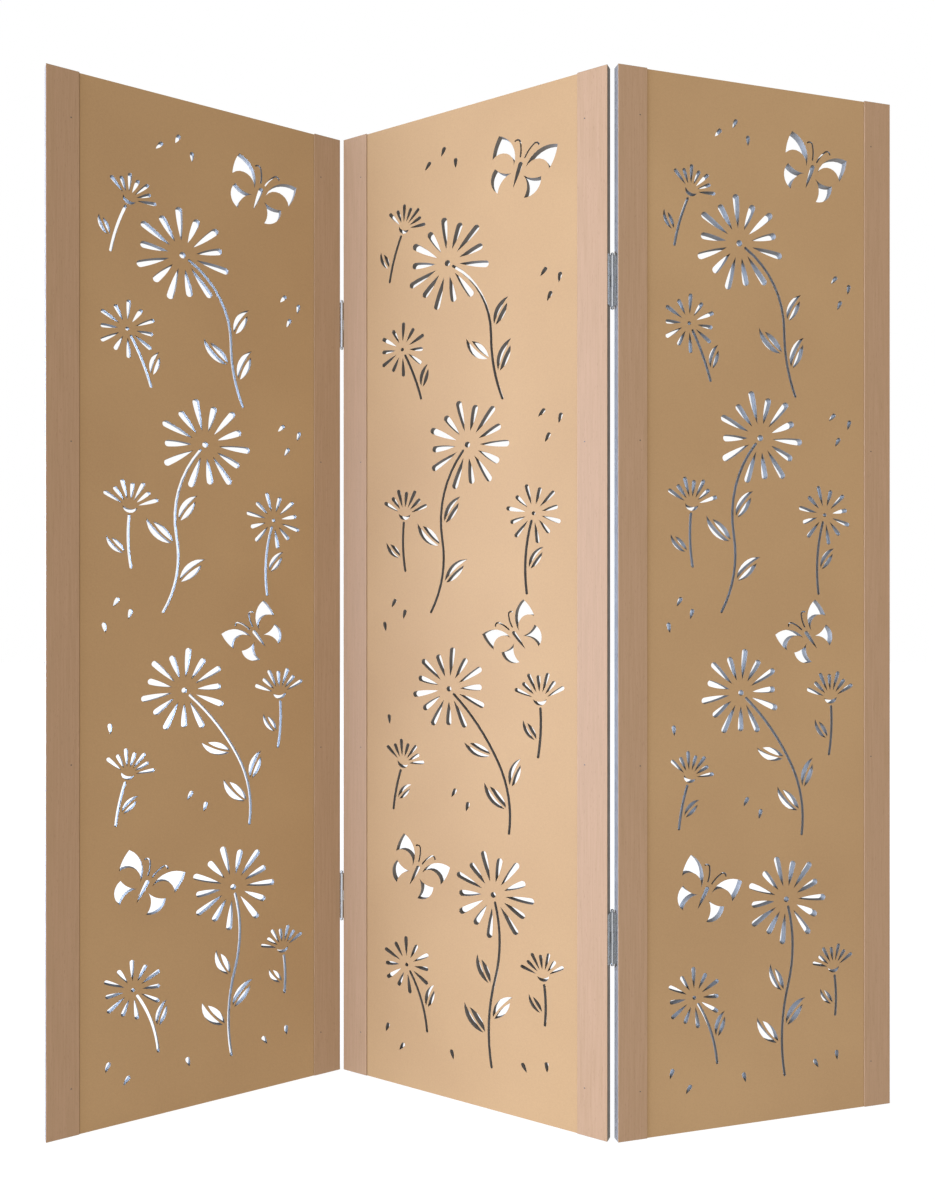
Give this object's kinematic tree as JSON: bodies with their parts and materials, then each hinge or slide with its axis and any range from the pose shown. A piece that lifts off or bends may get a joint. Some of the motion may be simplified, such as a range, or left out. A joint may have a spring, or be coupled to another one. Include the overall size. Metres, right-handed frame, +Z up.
{
  "type": "folding screen",
  "caption": "Free-standing folding screen: pierced boards with flower and butterfly cut-outs between plain upright stiles, joined by butt hinges so that the panels fold flat.",
  "frame": {"origin": "on the floor, under the middle of the standing screen's plan box", "axes": "+Z up; +X along the screen to the viewer's right; +Y away from the viewer, so the fronts face -Y"},
  "size_m": [1.3934, 0.2536, 1.7],
  "materials": {
    "board": "matt fibreboard",
    "stile": "matt",
    "hinge": "zinc plated",
    "screw": "zinc plated",
    "nail": "bare steel"
  },
  "bodies": {
    "middle_panel": {"board_middle": "board", "stile_middle_left": "stile", "nails_middle_left": "nail", "stile_middle_right": "stile", "nails_middle_right": "nail", "hinge_left_lower_leaf_middle": "hinge", "hinge_left_lower_axle": "hinge", "hinge_left_lower_screws_middle": "screw", "hinge_left_upper_leaf_middle": "hinge", "hinge_left_upper_axle": "hinge", "hinge_left_upper_screws_middle": "screw", "hinge_right_lower_leaf_middle": "hinge", "hinge_right_lower_axle": "hinge", "hinge_right_lower_screws_middle": "screw", "hinge_right_upper_leaf_middle": "hinge", "hinge_right_upper_axle": "hinge", "hinge_right_upper_screws_middle": "screw"},
    "left_panel": {"board_left": "board", "stile_left_left": "stile", "nails_left_left": "nail", "stile_left_right": "stile", "nails_left_right": "nail", "hinge_left_lower_leaf_outer": "hinge", "hinge_left_lower_screws_outer": "screw", "hinge_left_upper_leaf_outer": "hinge", "hinge_left_upper_screws_outer": "screw"},
    "right_panel": {"board_right": "board", "stile_right_left": "stile", "nails_right_left": "nail", "stile_right_right": "stile", "nails_right_right": "nail", "hinge_right_lower_leaf_outer": "hinge", "hinge_right_lower_screws_outer": "screw", "hinge_right_upper_leaf_outer": "hinge", "hinge_right_upper_screws_outer": "screw"}
  },
  "joints": [
    {"name": "left_fold", "type": "hinge", "parent": "middle_panel", "child": "left_panel", "pos_m": [-0.24845, 0.1144, 0.318], "axis": [0, 0, 1], "range_deg": [-57.2, 122.8]},
    {"name": "right_fold", "type": "hinge", "parent": "middle_panel", "child": "right_panel", "pos_m": [0.20474, -0.11131, 0.318], "axis": [0, 0, 1], "range_deg": [-42.3, 137.7]}
  ]
}
